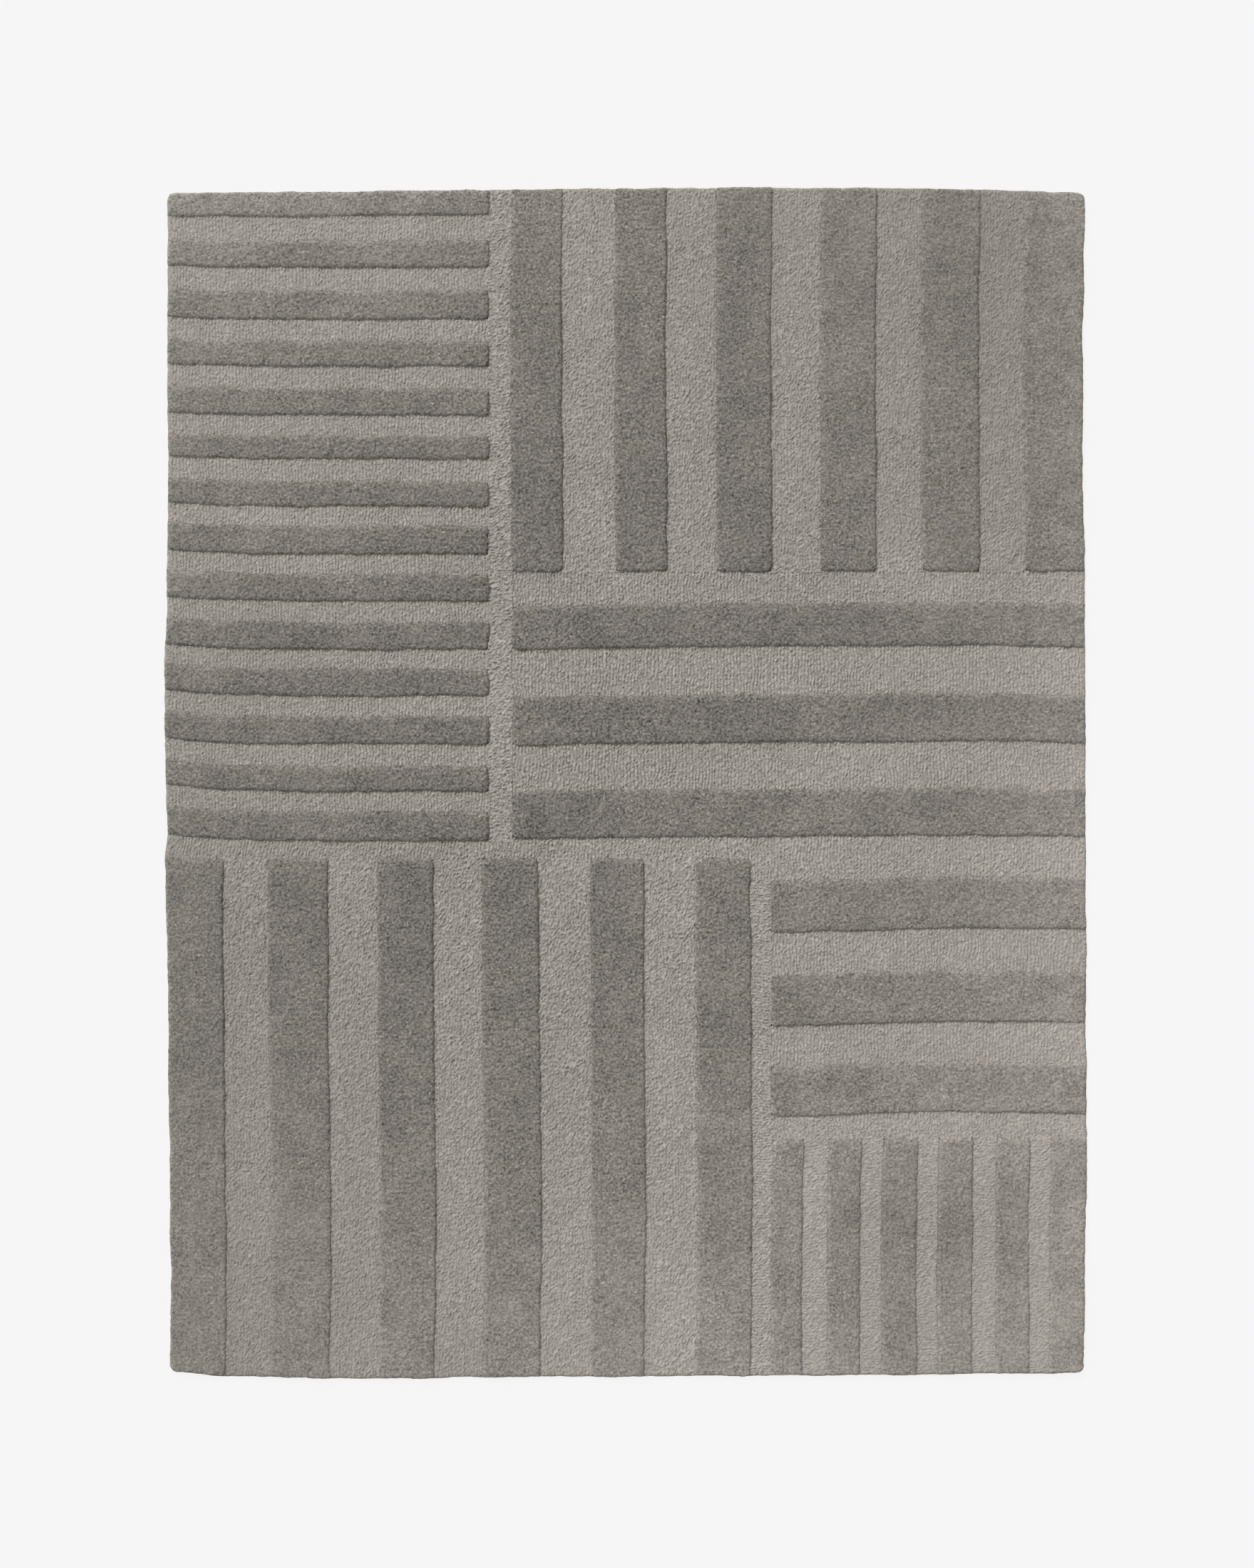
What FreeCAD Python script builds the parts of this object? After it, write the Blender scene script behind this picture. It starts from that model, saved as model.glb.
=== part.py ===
import FreeCAD, Part
import Sketcher
import os

# A tufted area rug, lying flat with its pile up.
# Raised bars of cut pile stand in a lower ground of loop pile. Six panels of bars are set apart by
# plain loop borders. Under the pile lie the primary backing, whose margins are folded under, a coat
# of latex, the secondary backing and a hem tape sewn round the underside.
# The origin is the middle of the underside. +X runs across the rug, +Y along it and +Z up.

Vector = FreeCAD.Vector

# ---------------------------------------------------------------------------- driving dimensions

DIMENSIONS = {
    "rug_width": 1700,
    "rug_length": 2200,
    "corner_radius": 12,
    # heights, from the floor up
    "tape_thickness": 0.8,
    "cloth_thickness": 0.8,
    "latex_thickness": 1.0,
    "loop_pile_height": 9.6,
    "cut_pile_height": 14.6,
    # rounding of the pile
    "cut_pile_round": 4.5,
    "loop_edge_round": 5,
    # how far each layer of the backing stops short of the rug's edge
    "backing_inset": 2,
    "hem_tape_inset": 6,
    "fold_width": 26,
    "hem_tape_width": 30,
    # the seam that holds the hem tape
    "seam_from_tape_edge": 24,
    "seam_width": 1.4,
    "seam_depth": 0.5,
    "stitch_length": 12,
    "stitch_pitch": 20,
    # the loop borders between the panels
    "upper_border_left": -252,
    "upper_border_right": -211,
    "lower_border_left": 231,
    "lower_border_right": 270,
    "upper_right_floor": 391,
    "middle_right_top": 330,
    "middle_right_floor": -102,
    "upper_left_floor": -109,
    "lower_left_top": -141,
    "lower_right_top": -179,
    "lower_right_floor": -616,
    "bottom_right_top": -662,
}

HALF_WIDTH = DIMENSIONS["rug_width"] / 2
HALF_LENGTH = DIMENSIONS["rug_length"] / 2

# Each panel alternates bars with gaps and starts and ends with a bar, as a tufter lays them out.
# Bars "across" the rug are measured from the panel's top down, the others from its left side.
# "ends" gives the two limits that every bar in the panel reaches.
PANELS = {
    "upper_left": {
        "across": True,
        "start": HALF_LENGTH,
        "ends": (-HALF_WIDTH, DIMENSIONS["upper_border_left"]),
        "bars": (49, 51, 54, 48, 51, 43, 47, 53, 50, 51, 51, 52, 47, 54),
        "gaps": (46, 42, 39, 40, 38, 41, 36, 36, 39, 35, 38, 40, 38),
    },
    "upper_right": {
        "across": False,
        "start": DIMENSIONS["upper_border_right"],
        "ends": (DIMENSIONS["upper_right_floor"], HALF_LENGTH),
        "bars": (96, 96, 104, 104, 109, 110),
        "gaps": (97, 91, 90, 82, 82),
    },
    "middle_right": {
        "across": True,
        "start": DIMENSIONS["middle_right_top"],
        "ends": (DIMENSIONS["upper_border_right"], HALF_WIDTH),
        "bars": (80, 89, 88),
        "gaps": (89, 86),
    },
    "lower_left": {
        "across": False,
        "start": -HALF_WIDTH,
        "ends": (-HALF_LENGTH, DIMENSIONS["lower_left_top"]),
        "bars": (111, 111, 104, 106, 101, 102),
        "gaps": (82, 90, 88, 92, 94),
    },
    "lower_right": {
        "across": True,
        "start": DIMENSIONS["lower_right_top"],
        "ends": (DIMENSIONS["lower_border_right"], HALF_WIDTH),
        "bars": (96, 96, 93),
        "gaps": (78, 74),
    },
    "bottom_right": {
        "across": False,
        "start": DIMENSIONS["lower_border_right"],
        "ends": (-HALF_LENGTH, DIMENSIONS["bottom_right_top"]),
        "bars": (59, 61, 67, 65, 63, 65),
        "gaps": (46, 38, 38, 42, 36),
    },
}

# Each loop border is one or more rectangles: (left, low, right, high).
BORDERS = {
    "loop_border_upper_centre": [
        ("upper_border_left", "upper_left_floor", "upper_border_right", "rug_top"),
    ],
    "loop_border_upper_right": [
        ("upper_border_right", "middle_right_top", "rug_right", "upper_right_floor"),
    ],
    "loop_border_middle_left": [
        ("rug_left", "lower_left_top", "upper_border_right", "upper_left_floor"),
    ],
    "loop_border_middle_right": [
        ("upper_border_right", "lower_left_top", "rug_right", "middle_right_floor"),
        ("lower_border_left", "lower_right_top", "rug_right", "lower_left_top"),
    ],
    "loop_border_lower_centre": [
        ("lower_border_left", "rug_bottom", "lower_border_right", "lower_right_top"),
    ],
    "loop_border_lower_right": [
        ("lower_border_right", "bottom_right_top", "rug_right", "lower_right_floor"),
    ],
}


def stripe_lines(panel):
    """The lines between bar and gap, in the order in which they are laid."""
    step = -1 if panel["across"] else 1
    stripes = [size for pair in zip(panel["bars"], panel["gaps"] + (0,)) for size in pair][:-1]
    lines = [panel["start"]]
    for size in stripes:
        lines.append(lines[-1] + step * size)
    return lines


def fill_sheet(document):
    """Puts every driving dimension in the spreadsheet, and returns the values by alias."""
    values = dict(DIMENSIONS)
    values["rug_left"] = -HALF_WIDTH
    values["rug_right"] = HALF_WIDTH
    values["rug_bottom"] = -HALF_LENGTH
    values["rug_top"] = HALF_LENGTH
    values["backing_low"] = DIMENSIONS["tape_thickness"]
    values["latex_low"] = values["backing_low"] + DIMENSIONS["cloth_thickness"]
    values["primary_low"] = values["latex_low"] + DIMENSIONS["latex_thickness"]
    values["pile_low"] = values["primary_low"] + DIMENSIONS["cloth_thickness"]
    for name, panel in PANELS.items():
        values[name + "_low_end"] = min(panel["ends"])
        values[name + "_high_end"] = max(panel["ends"])
        for number, line in enumerate(stripe_lines(panel), 1):
            values[f"{name}_line_{number:02d}"] = line
    sheet = document.addObject("Spreadsheet::Sheet", "dimensions")
    for row, (alias, value) in enumerate(values.items(), 1):
        sheet.set(f"A{row}", alias)
        sheet.set(f"B{row}", str(value))
        sheet.setAlias(f"B{row}", alias)
    document.recompute()
    return values


# ---------------------------------------------------------------------------- building blocks

document = FreeCAD.newDocument("area_rug")
VALUES = fill_sheet(document)
sub_parts = []


def cell(alias):
    return "dimensions." + alias


def keep(item, label):
    """Marks a document object as a sub-part."""
    item.Label = label
    sub_parts.append(item)
    return item


def place(item, left, low, height):
    """Binds the corner of an item to three cells of the sheet."""
    item.setExpression("Placement.Base.x", left)
    item.setExpression("Placement.Base.y", low)
    item.setExpression("Placement.Base.z", height)


def new_sketch(body, name):
    sketch = body.newObject("Sketcher::SketchObject", name)
    plane = next(feature for feature in body.Origin.OriginFeatures if feature.Role == "XY_Plane")
    sketch.AttachmentSupport = (plane, [""])
    sketch.MapMode = "FlatFace"
    return sketch


def add_outline(sketch, corners):
    """Draws a closed outline of straight lines and joins their ends."""
    count = len(corners)
    for index in range(count):
        line = Part.LineSegment(corners[index], corners[(index + 1) % count])
        sketch.addGeometry(line, False)
    for index in range(count):
        sketch.addConstraint(Sketcher.Constraint("Coincident", index, 2, (index + 1) % count, 1))


def bind(sketch, kind, first, first_end, second, second_end, start_value, expression):
    """Adds a distance to a sketch and binds it to the sheet."""
    distance = Sketcher.Constraint(kind, first, first_end, second, second_end, start_value)
    index = sketch.addConstraint(distance)
    sketch.setExpression(f"Constraints[{index}]", expression)


def edges_at_height(shape, height):
    """Names of the edges that lie level at a height."""
    return [f"Edge{number}" for number, edge in enumerate(shape.Edges, 1)
            if all(near(vertex.Z, height) for vertex in edge.Vertexes)]


def near(first, second):
    return abs(first - second) < 1e-4


def upright(edge):
    """True for a straight edge that stands along Z."""
    first, last = edge.Vertexes[0], edge.Vertexes[-1]
    return near(first.X, last.X) and near(first.Y, last.Y)


# ---------------------------------------------------------------------------- cut-pile bars


def rug_corner_edges(shape, left, low):
    """Upright edges of a bar that stand on a corner of the rug."""
    return [f"Edge{number}" for number, edge in enumerate(shape.Edges, 1)
            if upright(edge)
            and near(abs(edge.Vertexes[0].X + left), HALF_WIDTH)
            and near(abs(edge.Vertexes[0].Y + low), HALF_LENGTH)]


def cut_pile_bar(label, left, low, right, high):
    """A padded rectangle with its top edges rounded, between four lines of the sheet."""
    body = document.addObject("PartDesign::Body", label)
    width = VALUES[right] - VALUES[left]
    length = VALUES[high] - VALUES[low]
    sketch = new_sketch(body, label + "_sketch")
    add_outline(sketch, [Vector(0, 0), Vector(width, 0), Vector(width, length), Vector(0, length)])
    for index, kind in enumerate(("Horizontal", "Vertical", "Horizontal", "Vertical")):
        sketch.addConstraint(Sketcher.Constraint(kind, index))
    sketch.addConstraint(Sketcher.Constraint("Coincident", 0, 1, -1, 1))
    bind(sketch, "DistanceX", 0, 1, 0, 2, width, f"{cell(right)} - {cell(left)}")
    bind(sketch, "DistanceY", 1, 1, 1, 2, length, f"{cell(high)} - {cell(low)}")
    pad = body.newObject("PartDesign::Pad", label + "_pad")
    pad.Profile = sketch
    pad.setExpression("Length", cell("cut_pile_height"))
    document.recompute()
    last = pad
    corner_edges = rug_corner_edges(pad.Shape, VALUES[left], VALUES[low])
    if corner_edges:
        last = body.newObject("PartDesign::Fillet", label + "_corner")
        last.Base = (pad, corner_edges)
        last.setExpression("Radius", cell("corner_radius"))
        document.recompute()
    crown = body.newObject("PartDesign::Fillet", label + "_crown")
    crown.Base = (last, edges_at_height(last.Shape, DIMENSIONS["cut_pile_height"]))
    crown.setExpression("Radius", cell("cut_pile_round"))
    place(body, cell(left), cell(low), cell("pile_low"))
    return keep(body, label)


# ---------------------------------------------------------------------------- loop pile


def rug_side_edges(shape, top):
    """Numbers of the top edges that lie along a side of the rug."""
    numbers = []
    for number, edge in enumerate(shape.Edges, 1):
        ends = [vertex.Point for vertex in edge.Vertexes]
        on_side = all(near(abs(point.x), HALF_WIDTH) for point in ends)
        on_end = all(near(abs(point.y), HALF_LENGTH) for point in ends)
        if all(near(point.z, top) for point in ends) and (on_side or on_end):
            numbers.append(number)
    return numbers


def loop_strip(label, left, low, right, high):
    """A box between four lines of the sheet, rounded where it meets the rug's edge."""
    box = document.addObject("Part::Box", label)
    box.setExpression("Length", f"{cell(right)} - {cell(left)}")
    box.setExpression("Width", f"{cell(high)} - {cell(low)}")
    box.setExpression("Height", cell("loop_pile_height"))
    place(box, cell(left), cell(low), cell("pile_low"))
    document.recompute()
    rounded = rug_side_edges(box.Shape, VALUES["pile_low"] + DIMENSIONS["loop_pile_height"])
    if not rounded:
        return box
    fillet = document.addObject("Part::Fillet", label + "_rounded")
    fillet.Base = box
    radius = DIMENSIONS["loop_edge_round"]
    fillet.Edges = [(number, radius, radius) for number in rounded]
    return fillet


def loop_area(label, rectangles):
    """Loop pile that lies between the bars of one panel, or in one border."""
    strips = []
    for number, limits in enumerate(rectangles, 1):
        strips.append(loop_strip(f"{label}_strip_{number:02d}", *limits))
    if len(strips) == 1:
        return keep(strips[0], label)
    group = document.addObject("Part::Compound", label)
    group.Links = strips
    return keep(group, label)


def panel_rectangles(name, panel):
    """Limits of every bar and gap of a panel, as aliases: (left, low, right, high)."""
    ends = (name + "_low_end", name + "_high_end")
    count = len(stripe_lines(panel))
    lines = [f"{name}_line_{number:02d}" for number in range(1, count + 1)]
    if panel["across"]:
        return [(ends[0], lines[index + 1], ends[1], lines[index]) for index in range(count - 1)]
    return [(lines[index], ends[0], lines[index + 1], ends[1]) for index in range(count - 1)]


# ---------------------------------------------------------------------------- backing


def plate(label, inset, low, high, corner=0):
    """A flat layer that stops short of the rug's edge by an inset, between two heights."""
    box = document.addObject("Part::Box", label)
    box.setExpression("Length", f"{cell('rug_width')} - 2 * ({inset})")
    box.setExpression("Width", f"{cell('rug_length')} - 2 * ({inset})")
    box.setExpression("Height", f"{high} - ({low})")
    place(box, f"{cell('rug_left')} + {inset}", f"{cell('rug_bottom')} + {inset}", low)
    document.recompute()
    if not corner:
        return box
    fillet = document.addObject("Part::Fillet", label + "_rounded")
    fillet.Base = box
    fillet.Edges = [(number, corner, corner) for number, edge in enumerate(box.Shape.Edges, 1)
                    if upright(edge)]
    return fillet


def backing():
    """Primary backing with its margins folded under, latex inside the fold, and secondary backing."""
    fold = cell("backing_inset")
    inside_fold = f"{fold} + {cell('cloth_thickness')}"
    margin = f"{fold} + {cell('fold_width')}"
    tape_inner = f"{cell('hem_tape_inset')} + {cell('hem_tape_width')}"
    block_corner = DIMENSIONS["corner_radius"] - DIMENSIONS["backing_inset"]
    latex_corner = block_corner - DIMENSIONS["cloth_thickness"]

    latex = plate("latex_layer", inside_fold, cell("latex_low"), cell("primary_low"), latex_corner)
    keep(latex, "latex_coat")

    block = plate("primary_block", fold, cell("backing_low"), cell("pile_low"), block_corner)
    window = plate("fold_window", margin, cell("backing_low"), cell("latex_low"))
    hollow = document.addObject("Part::Fuse", "primary_hollow")
    hollow.Base = latex
    hollow.Tool = window
    primary = document.addObject("Part::Cut", "primary")
    primary.Base = block
    primary.Tool = hollow
    keep(primary, "primary_backing")

    lower = plate("secondary_lower", tape_inner, "0", cell("backing_low"))
    upper = plate("secondary_upper", margin, cell("backing_low"), cell("latex_low"))
    secondary = document.addObject("Part::Fuse", "secondary")
    secondary.Base = lower
    secondary.Tool = upper
    secondary.Refine = True
    keep(secondary, "secondary_backing")


# ---------------------------------------------------------------------------- hem


def centred_outline(sketch, near_half, far_half, near_y, far_y):
    """Four lines, symmetric about the sketch's upright axis, with two sides along X."""
    add_outline(sketch, [Vector(-near_half, near_y), Vector(near_half, near_y),
                         Vector(far_half, far_y), Vector(-far_half, far_y)])
    sketch.addConstraint(Sketcher.Constraint("Symmetric", 0, 1, 0, 2, -2))
    sketch.addConstraint(Sketcher.Constraint("Symmetric", 2, 1, 2, 2, -2))


def hem_tape(label, side_length, side_distance, turn):
    """One mitred length of tape along one side of the rug, with a groove for the seam."""
    width = DIMENSIONS["hem_tape_width"]
    inset = DIMENSIONS["hem_tape_inset"]
    half = VALUES[side_length] / 2 - inset
    outer = f"{cell(side_length)} - 2 * {cell('hem_tape_inset')}"
    body = document.addObject("PartDesign::Body", label)

    sketch = new_sketch(body, label + "_sketch")
    centred_outline(sketch, half, half - width, 0, width)
    sketch.addConstraint(Sketcher.Constraint("PointOnObject", 0, 1, -1))
    bind(sketch, "DistanceX", 0, 1, 0, 2, 2 * half, outer)
    bind(sketch, "DistanceX", 2, 2, 2, 1, 2 * (half - width), f"{outer} - 2 * {cell('hem_tape_width')}")
    bind(sketch, "DistanceY", 0, 2, 2, 1, width, cell("hem_tape_width"))
    pad = body.newObject("PartDesign::Pad", label + "_pad")
    pad.Profile = sketch
    pad.setExpression("Length", cell("tape_thickness"))

    seam_low = DIMENSIONS["seam_from_tape_edge"]
    seam_high = seam_low + DIMENSIONS["seam_width"]
    seam_half = half - width
    seam = new_sketch(body, label + "_seam")
    centred_outline(seam, seam_half, seam_half, seam_low, seam_high)
    bind(seam, "DistanceX", 0, 1, 0, 2, 2 * seam_half, f"{outer} - 2 * {cell('hem_tape_width')}")
    bind(seam, "DistanceX", 2, 2, 2, 1, 2 * seam_half, f"{outer} - 2 * {cell('hem_tape_width')}")
    bind(seam, "DistanceY", -1, 1, 0, 1, seam_low, cell("seam_from_tape_edge"))
    bind(seam, "DistanceY", 0, 2, 2, 1, DIMENSIONS["seam_width"], cell("seam_width"))
    groove = body.newObject("PartDesign::Pocket", label + "_groove")
    groove.Profile = seam
    groove.Reversed = True
    groove.setExpression("Length", cell("seam_depth"))

    body.Placement.Rotation = FreeCAD.Rotation(Vector(0, 0, 1), turn)
    to_edge = Vector(0, inset - VALUES[side_distance] / 2, 0)
    body.Placement.Base = body.Placement.Rotation.multVec(to_edge)
    document.recompute()
    if groove.Shape.Volume >= pad.Shape.Volume:
        raise RuntimeError(label + ": the seam groove cuts nothing")
    return keep(body, label)


SIDES = {
    "bottom": ("rug_width", "rug_length", 0),
    "right": ("rug_length", "rug_width", 90),
    "top": ("rug_width", "rug_length", 180),
    "left": ("rug_length", "rug_width", 270),
}


def hem_stitches():
    """Running stitches that lie in the grooves of the four tapes, flush with the underside."""
    pitch = DIMENSIONS["stitch_pitch"]
    length = DIMENSIONS["stitch_length"]
    stitches = []
    for side_length, side_distance, turn in SIDES.values():
        run = VALUES[side_length] - 2 * (DIMENSIONS["hem_tape_inset"] + DIMENSIONS["hem_tape_width"])
        count = int(run // pitch)
        first = -(count - 1) * pitch / 2 - length / 2
        seam_y = DIMENSIONS["hem_tape_inset"] + DIMENSIONS["seam_from_tape_edge"]
        seam_y -= VALUES[side_distance] / 2
        for index in range(count):
            stitch = Part.makeBox(length, DIMENSIONS["seam_width"], DIMENSIONS["seam_depth"],
                                  Vector(first + index * pitch, seam_y, 0))
            stitch.rotate(Vector(0, 0, 0), Vector(0, 0, 1), turn)
            stitches.append(stitch)
    seam = document.addObject("Part::Feature", "stitches")
    seam.Shape = Part.makeCompound(stitches)
    return keep(seam, "hem_stitches")


# ---------------------------------------------------------------------------- the rug

for panel_name, panel in PANELS.items():
    rectangles = panel_rectangles(panel_name, panel)
    for number, limits in enumerate(rectangles[0::2], 1):
        cut_pile_bar(f"cut_pile_{panel_name}_{number:02d}", *limits)
    loop_area("loop_pile_" + panel_name, rectangles[1::2])

for border_name, rectangles in BORDERS.items():
    loop_area(border_name, rectangles)

backing()
for side, (side_length, side_distance, turn) in SIDES.items():
    hem_tape("hem_tape_" + side, side_length, side_distance, turn)
hem_stitches()
document.recompute()

# ---------------------------------------------------------------------------- checks and files

for item in document.Objects:
    if "Invalid" in item.State or "Error" in item.State:
        raise RuntimeError(f"{item.Label} failed: {item.State}")
for item in sub_parts:
    if item.Shape.isNull() or not item.Shape.isValid() or not item.Shape.Solids:
        raise RuntimeError(f"{item.Label} has no valid solid")

os.makedirs("parts", exist_ok=True)
for item in sub_parts:
    item.Shape.exportStep(f"parts/{item.Label}.step")
print(len(sub_parts), "sub-parts,", sum(len(item.Shape.Solids) for item in sub_parts), "solids")
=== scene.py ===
import math

import bpy
import numpy as np
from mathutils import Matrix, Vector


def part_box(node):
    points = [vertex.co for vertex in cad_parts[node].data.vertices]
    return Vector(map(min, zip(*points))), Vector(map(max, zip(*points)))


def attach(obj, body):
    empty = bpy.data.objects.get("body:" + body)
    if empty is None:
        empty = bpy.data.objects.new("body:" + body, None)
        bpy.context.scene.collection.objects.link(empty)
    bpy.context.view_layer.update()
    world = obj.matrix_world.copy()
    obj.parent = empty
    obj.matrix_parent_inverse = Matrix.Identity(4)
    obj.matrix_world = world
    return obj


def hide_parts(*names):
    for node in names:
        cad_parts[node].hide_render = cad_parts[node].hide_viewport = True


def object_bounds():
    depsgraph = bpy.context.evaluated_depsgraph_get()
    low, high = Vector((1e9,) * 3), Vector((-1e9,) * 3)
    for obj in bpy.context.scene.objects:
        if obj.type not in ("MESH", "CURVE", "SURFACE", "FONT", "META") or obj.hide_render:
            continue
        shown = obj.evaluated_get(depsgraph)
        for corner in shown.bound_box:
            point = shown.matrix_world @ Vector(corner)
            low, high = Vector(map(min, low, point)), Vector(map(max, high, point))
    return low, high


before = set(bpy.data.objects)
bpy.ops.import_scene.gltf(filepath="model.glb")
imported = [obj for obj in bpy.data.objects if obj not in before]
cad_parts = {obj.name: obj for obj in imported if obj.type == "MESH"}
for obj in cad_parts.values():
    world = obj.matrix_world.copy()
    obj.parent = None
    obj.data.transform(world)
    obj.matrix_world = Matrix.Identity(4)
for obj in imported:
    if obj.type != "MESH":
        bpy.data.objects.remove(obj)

# A tufted area rug: cut-pile bars over a lower ground of loop pile, seen from straight above.
# Every piece of pile is a closed mesh laid out on the plain rectangle of its CAD node, then moved
# by one shared field of small shifts, so neighbouring pieces stay in touch and all wander together.

CAD_LOW, CAD_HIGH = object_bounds()
MM = 0.001

LEFT, RIGHT = CAD_LOW.x, CAD_HIGH.x
BOTTOM, TOP = CAD_LOW.y, CAD_HIGH.y
PILE_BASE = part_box("cut_pile_upper_left_01")[0].z
CUT_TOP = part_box("cut_pile_upper_left_01")[1].z
LOOP_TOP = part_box("loop_border_upper_centre")[1].z

PANELS = ("upper_left", "upper_right", "middle_right", "lower_left", "lower_right", "bottom_right")


# ---------------------------------------------------------------------------- noise and curves

LATTICE = np.random.default_rng(11).uniform(-1.0, 1.0, 1 << 16)


def lattice_value(column, row, seed):
    mixed = (column * 73856093) ^ (row * 19349663) ^ (seed * 83492791)
    return LATTICE[mixed & (LATTICE.size - 1)]


def noise(x, y, size, seed):
    """Smooth noise from -1 to 1, with bumps about `size` metres across."""
    u, v = x / size, y / size
    column, row = np.floor(u).astype(np.int64), np.floor(v).astype(np.int64)
    fu, fv = u - column, v - row
    fu = fu * fu * fu * (fu * (fu * 6 - 15) + 10)
    fv = fv * fv * fv * (fv * (fv * 6 - 15) + 10)
    low = lattice_value(column, row, seed) * (1 - fu) + lattice_value(column + 1, row, seed) * fu
    high = lattice_value(column, row + 1, seed) * (1 - fu)
    high = high + lattice_value(column + 1, row + 1, seed) * fu
    return low * (1 - fv) + high * fv


def smooth_step(value, start, end):
    t = np.clip((value - start) / (end - start), 0, 1)
    return t * t * (3 - 2 * t)


def wander(points):
    """A smooth function of place from a few (place, shift) points, both in millimetres."""
    places = np.array([place for place, shift in points]) * MM
    shifts = np.array([shift for place, shift in points]) * MM
    fine = np.linspace(places[0] - 0.1, places[-1] + 0.1, 400)
    window = np.hanning(45)
    padded = np.pad(np.interp(fine, places, shifts), window.size // 2, mode="edge")
    smooth = np.convolve(padded, window / window.sum(), mode="valid")
    return lambda place: np.interp(place, fine, smooth)


# ---------------------------------------------------------------------------- how the rug wanders

# A tufted rug is never quite square. Each list is (place along the side, shift) in millimetres.
TOP_SIDE = wander(((-850, -7.5), (-620, -5), (-215, 0.5), (270, 4.5), (650, 0.5), (850, -7.5)))
BOTTOM_SIDE = wander(((-850, 6), (-700, -3), (-550, -7), (-160, -3.2), (325, -0.5), (700, 2), (850, 6)))
LEFT_SIDE = wander(((-1100, 9), (-840, 6.5), (-600, 8), (-436, 8), (-180, 4.5), (-60, -1.5),
                    (184, -5.3), (292, -1.3), (615, 2), (1100, 0)))
RIGHT_SIDE = wander(((-1100, 1.5), (-840, 5.5), (-571, 5.3), (-166, 5), (184, 4), (615, 0.5), (1100, 4)))
SIDE_REACH = 50 * MM

# How far the bars of a panel bend away from straight.
MIDDLE_RIGHT_BEND = wander(((-211, -3), (60, 0), (450, 3), (650, 4.6), (850, 1)))
LOWER_RIGHT_BEND = wander(((270, -4.5), (420, 0.5), (620, 6), (850, 2.5)))
UPPER_RIGHT_BEND = wander(((391, 0), (600, -1.3), (830, -3), (1100, -1)))
LOWER_LEFT_BEND = wander(((-1100, -1), (-900, 2.2), (-700, 1.2), (-450, -2), (-141, -3.5)))
BOTTOM_RIGHT_BEND = wander(((-1100, -1), (-850, -1.3), (-740, 0.5), (-662, 3)))

CORNER = 15 * MM


def panel_box(panel):
    """Lowest and highest corner of the bars of a panel."""
    boxes = [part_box(node) for node in bar_nodes(panel)]
    low = [min(box[0][axis] for box in boxes) for axis in range(3)]
    high = [max(box[1][axis] for box in boxes) for axis in range(3)]
    return low, high


def bar_nodes(panel):
    return sorted(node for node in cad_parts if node.startswith(f"cut_pile_{panel}_"))


BOXES = {panel: panel_box(panel) for panel in PANELS}


def inside(panel, x, y):
    """1 inside a panel, falling to 0 across the borders round it."""
    low, high = BOXES[panel]
    feather = 35 * MM
    across = smooth_step(x, low[0] - feather, low[0]) * (1 - smooth_step(x, high[0], high[0] + feather))
    along = smooth_step(y, low[1] - feather, low[1]) * (1 - smooth_step(y, high[1], high[1] + feather))
    return across * along


def near_side(distance):
    return np.exp(-((distance / SIDE_REACH) ** 2))


def upper_left_rise(x, y):
    """The narrow cross bars curve up towards the rug's left side, more so further down."""
    low, high = BOXES["upper_left"]
    share = np.clip((high[1] - y) / (high[1] - low[1]), 0, 1)
    return (2 + 12.5 * share) * MM * np.exp(-(x - low[0]) / (95 * MM))


def bottom_right_rise(x, y):
    """The short bars reach a little higher than the panel's first one."""
    low, high = BOXES["bottom_right"]
    reach = 4.5 * MM * smooth_step(x, low[0] + 55 * MM, low[0] + 105 * MM)
    return reach * smooth_step(y, high[1] - 120 * MM, high[1])


def lower_left_spread(x, y):
    """The lower left bars spread apart slightly, more so towards their upper ends."""
    low = BOXES["lower_left"][0]
    share = smooth_step(y, low[1] + 100 * MM, low[1] + 600 * MM)
    return (x - low[0] * 0.4) * (0.003 + 0.005 * share)


def plan_shift(x, y):
    """How far a point of the pile is moved across and along the rug."""
    shift_x = near_side(x - LEFT) * LEFT_SIDE(y) + near_side(RIGHT - x) * RIGHT_SIDE(y)
    shift_x += inside("upper_right", x, y) * UPPER_RIGHT_BEND(y)
    shift_x += inside("lower_left", x, y) * (LOWER_LEFT_BEND(y) + lower_left_spread(x, y))
    shift_x += inside("bottom_right", x, y) * BOTTOM_RIGHT_BEND(y)
    shift_y = near_side(TOP - y) * TOP_SIDE(x) + near_side(y - BOTTOM) * BOTTOM_SIDE(x)
    shift_y += inside("middle_right", x, y) * MIDDLE_RIGHT_BEND(x)
    shift_y += inside("lower_right", x, y) * LOWER_RIGHT_BEND(x)
    shift_y += inside("upper_left", x, y) * upper_left_rise(x, y)
    shift_y += inside("bottom_right", x, y) * bottom_right_rise(x, y)
    for size, reach, seed in ((75 * MM, 1.5 * MM, 3), (24 * MM, 0.8 * MM, 5), (8 * MM, 0.5 * MM, 7)):
        shift_x += reach * noise(x, y, size, seed)
        shift_y += reach * noise(x, y, size, seed + 1)
    return shift_x, shift_y


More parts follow.
